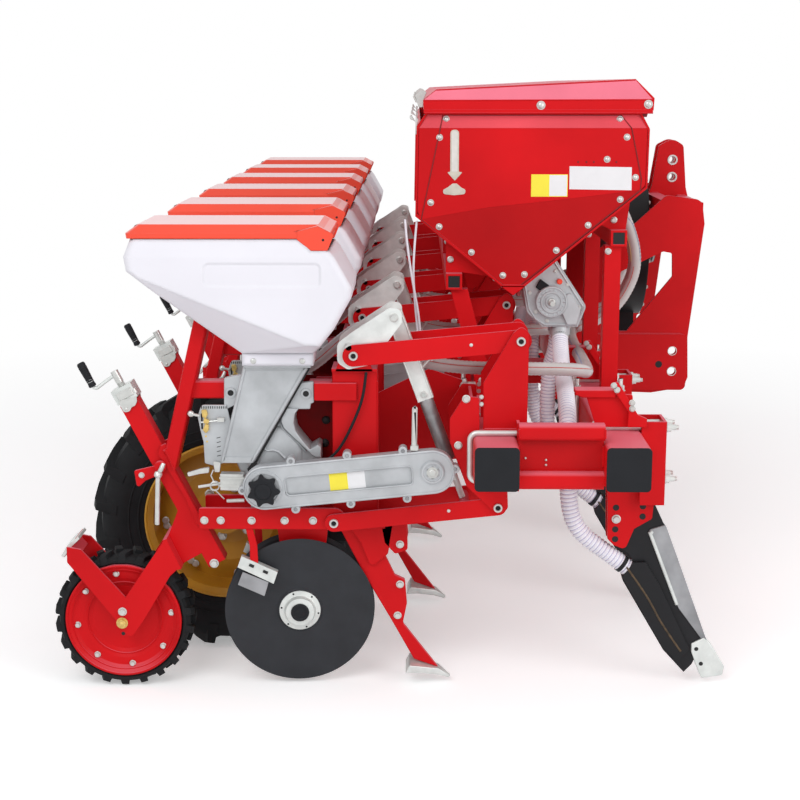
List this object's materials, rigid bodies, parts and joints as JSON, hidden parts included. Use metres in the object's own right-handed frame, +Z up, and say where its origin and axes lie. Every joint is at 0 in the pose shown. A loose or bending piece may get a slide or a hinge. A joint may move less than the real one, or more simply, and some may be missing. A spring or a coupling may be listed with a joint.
{
  "type": "corn planter",
  "caption": "Mounted pneumatic row planter: twin toolbar, row units on parallel linkages with seed hoppers, meters and press wheels, long fertilizer hopper, three-point hitch.",
  "frame": {"origin": "on the ground under the middle of the machine's outline", "axes": "+X forward to the tractor, +Y to the left along the toolbars, +Z up"},
  "size_m": [2.08, 4.012, 1.724],
  "materials": {
    "frame_red": "gloss",
    "lid_red": "gloss",
    "pale_plastic": "satin",
    "dark_plastic": "matte",
    "cast_aluminium": "matte",
    "zinc": "satin",
    "worn_steel": "satin",
    "disc_steel": "satin",
    "black_paint": "satin",
    "tyre_rubber": "matte",
    "rim_yellow": "satin",
    "white_hose": "satin",
    "clear_hose": "gloss"
  },
  "bodies": {
    "planter_frame": {"toolbars": "frame_red", "beam_caps": "dark_plastic", "row_brackets": "frame_red", "parallel_arms": "frame_red", "pressure_links": "zinc", "row_frames": "frame_red", "press_forks": "frame_red", "depth_cranks": "zinc", "tines": "frame_red", "disc_scrapers": "zinc", "seed_hoppers": "pale_plastic", "seed_meters": "cast_aluminium", "chain_cases": "cast_aluminium", "opener_clamps": "frame_red", "u_bolts": "zinc", "fertilizer_openers": "black_paint", "soil_points": "worn_steel", "fertilizer_hopper": "frame_red", "hopper_stand": "frame_red", "fertilizer_meters": "cast_aluminium", "fertilizer_hoses": "white_hose", "hitch_tower": "frame_red", "vacuum_fan": "black_paint", "air_hoses": "clear_hose", "ground_wheel_arms": "frame_red"},
    "opener_disc_1_right": {"opener_disc_1_right": "disc_steel"},
    "opener_disc_1_left": {"opener_disc_1_left": "disc_steel"},
    "press_wheel_1": {"press_tyre_1": "tyre_rubber", "press_rim_1": "frame_red"},
    "seed_lid_1": {"seed_lid_1": "lid_red"},
    "opener_disc_2_right": {"opener_disc_2_right": "disc_steel"},
    "opener_disc_2_left": {"opener_disc_2_left": "disc_steel"},
    "press_wheel_2": {"press_tyre_2": "tyre_rubber", "press_rim_2": "frame_red"},
    "seed_lid_2": {"seed_lid_2": "lid_red"},
    "opener_disc_3_right": {"opener_disc_3_right": "disc_steel"},
    "opener_disc_3_left": {"opener_disc_3_left": "disc_steel"},
    "press_wheel_3": {"press_tyre_3": "tyre_rubber", "press_rim_3": "frame_red"},
    "seed_lid_3": {"seed_lid_3": "lid_red"},
    "opener_disc_4_right": {"opener_disc_4_right": "disc_steel"},
    "opener_disc_4_left": {"opener_disc_4_left": "disc_steel"},
    "press_wheel_4": {"press_tyre_4": "tyre_rubber", "press_rim_4": "frame_red"},
    "seed_lid_4": {"seed_lid_4": "lid_red"},
    "opener_disc_5_right": {"opener_disc_5_right": "disc_steel"},
    "opener_disc_5_left": {"opener_disc_5_left": "disc_steel"},
    "press_wheel_5": {"press_tyre_5": "tyre_rubber", "press_rim_5": "frame_red"},
    "seed_lid_5": {"seed_lid_5": "lid_red"},
    "opener_disc_6_right": {"opener_disc_6_right": "disc_steel"},
    "opener_disc_6_left": {"opener_disc_6_left": "disc_steel"},
    "press_wheel_6": {"press_tyre_6": "tyre_rubber", "press_rim_6": "frame_red"},
    "seed_lid_6": {"seed_lid_6": "lid_red"},
    "ground_wheel_right": {"ground_tyre_right": "tyre_rubber", "ground_rim_right": "rim_yellow"},
    "ground_wheel_left": {"ground_tyre_left": "tyre_rubber", "ground_rim_left": "rim_yellow"},
    "fertilizer_lid": {"fertilizer_lid": "frame_red"}
  },
  "joints": [
    {"name": "opener_disc_1_right_turns", "type": "hinge", "parent": "planter_frame", "child": "opener_disc_1_right", "pos_m": [-0.334, -1.775, 0.227], "axis": [-0.0755, 0.9962, 0.0436], "continuous": true},
    {"name": "opener_disc_1_left_turns", "type": "hinge", "parent": "planter_frame", "child": "opener_disc_1_left", "pos_m": [-0.334, -1.725, 0.227], "axis": [0.0755, 0.9962, -0.0436], "continuous": true},
    {"name": "press_wheel_1_turns", "type": "hinge", "parent": "planter_frame", "child": "press_wheel_1", "pos_m": [-0.84, -1.75, 0.2], "axis": [0, 1, 0], "continuous": true},
    {"name": "seed_lid_1_opens", "type": "hinge", "parent": "planter_frame", "child": "seed_lid_1", "pos_m": [-0.246, -1.75, 1.303], "axis": [0, 1, 0], "range_deg": [0, 95]},
    {"name": "opener_disc_2_right_turns", "type": "hinge", "parent": "planter_frame", "child": "opener_disc_2_right", "pos_m": [-0.334, -1.075, 0.227], "axis": [-0.0755, 0.9962, 0.0436], "continuous": true},
    {"name": "opener_disc_2_left_turns", "type": "hinge", "parent": "planter_frame", "child": "opener_disc_2_left", "pos_m": [-0.334, -1.025, 0.227], "axis": [0.0755, 0.9962, -0.0436], "continuous": true},
    {"name": "press_wheel_2_turns", "type": "hinge", "parent": "planter_frame", "child": "press_wheel_2", "pos_m": [-0.84, -1.05, 0.2], "axis": [0, 1, 0], "continuous": true},
    {"name": "seed_lid_2_opens", "type": "hinge", "parent": "planter_frame", "child": "seed_lid_2", "pos_m": [-0.246, -1.05, 1.303], "axis": [0, 1, 0], "range_deg": [0, 95]},
    {"name": "opener_disc_3_right_turns", "type": "hinge", "parent": "planter_frame", "child": "opener_disc_3_right", "pos_m": [-0.334, -0.375, 0.227], "axis": [-0.0755, 0.9962, 0.0436], "continuous": true},
    {"name": "opener_disc_3_left_turns", "type": "hinge", "parent": "planter_frame", "child": "opener_disc_3_left", "pos_m": [-0.334, -0.325, 0.227], "axis": [0.0755, 0.9962, -0.0436], "continuous": true},
    {"name": "press_wheel_3_turns", "type": "hinge", "parent": "planter_frame", "child": "press_wheel_3", "pos_m": [-0.84, -0.35, 0.2], "axis": [0, 1, 0], "continuous": true},
    {"name": "seed_lid_3_opens", "type": "hinge", "parent": "planter_frame", "child": "seed_lid_3", "pos_m": [-0.246, -0.35, 1.303], "axis": [0, 1, 0], "range_deg": [0, 95]},
    {"name": "opener_disc_4_right_turns", "type": "hinge", "parent": "planter_frame", "child": "opener_disc_4_right", "pos_m": [-0.334, 0.325, 0.227], "axis": [-0.0755, 0.9962, 0.0436], "continuous": true},
    {"name": "opener_disc_4_left_turns", "type": "hinge", "parent": "planter_frame", "child": "opener_disc_4_left", "pos_m": [-0.334, 0.375, 0.227], "axis": [0.0755, 0.9962, -0.0436], "continuous": true},
    {"name": "press_wheel_4_turns", "type": "hinge", "parent": "planter_frame", "child": "press_wheel_4", "pos_m": [-0.84, 0.35, 0.2], "axis": [0, 1, 0], "continuous": true},
    {"name": "seed_lid_4_opens", "type": "hinge", "parent": "planter_frame", "child": "seed_lid_4", "pos_m": [-0.246, 0.35, 1.303], "axis": [0, 1, 0], "range_deg": [0, 95]},
    {"name": "opener_disc_5_right_turns", "type": "hinge", "parent": "planter_frame", "child": "opener_disc_5_right", "pos_m": [-0.334, 1.025, 0.227], "axis": [-0.0755, 0.9962, 0.0436], "continuous": true},
    {"name": "opener_disc_5_left_turns", "type": "hinge", "parent": "planter_frame", "child": "opener_disc_5_left", "pos_m": [-0.334, 1.075, 0.227], "axis": [0.0755, 0.9962, -0.0436], "continuous": true},
    {"name": "press_wheel_5_turns", "type": "hinge", "parent": "planter_frame", "child": "press_wheel_5", "pos_m": [-0.84, 1.05, 0.2], "axis": [0, 1, 0], "continuous": true},
    {"name": "seed_lid_5_opens", "type": "hinge", "parent": "planter_frame", "child": "seed_lid_5", "pos_m": [-0.246, 1.05, 1.303], "axis": [0, 1, 0], "range_deg": [0, 95]},
    {"name": "opener_disc_6_right_turns", "type": "hinge", "parent": "planter_frame", "child": "opener_disc_6_right", "pos_m": [-0.334, 1.725, 0.227], "axis": [-0.0755, 0.9962, 0.0436], "continuous": true},
    {"name": "opener_disc_6_left_turns", "type": "hinge", "parent": "planter_frame", "child": "opener_disc_6_left", "pos_m": [-0.334, 1.775, 0.227], "axis": [0.0755, 0.9962, -0.0436], "continuous": true},
    {"name": "press_wheel_6_turns", "type": "hinge", "parent": "planter_frame", "child": "press_wheel_6", "pos_m": [-0.84, 1.75, 0.2], "axis": [0, 1, 0], "continuous": true},
    {"name": "seed_lid_6_opens", "type": "hinge", "parent": "planter_frame", "child": "seed_lid_6", "pos_m": [-0.246, 1.75, 1.303], "axis": [0, 1, 0], "range_deg": [0, 95]},
    {"name": "ground_wheel_right_turns", "type": "hinge", "parent": "planter_frame", "child": "ground_wheel_right", "pos_m": [-0.585, -1.4, 0.405], "axis": [0, 1, 0], "continuous": true},
    {"name": "ground_wheel_left_turns", "type": "hinge", "parent": "planter_frame", "child": "ground_wheel_left", "pos_m": [-0.585, 1.4, 0.405], "axis": [0, 1, 0], "continuous": true},
    {"name": "fertilizer_lid_opens", "type": "hinge", "parent": "planter_frame", "child": "fertilizer_lid", "pos_m": [0.712, 0, 1.64], "axis": [0, 1, 0], "range_deg": [0, 95]}
  ]
}
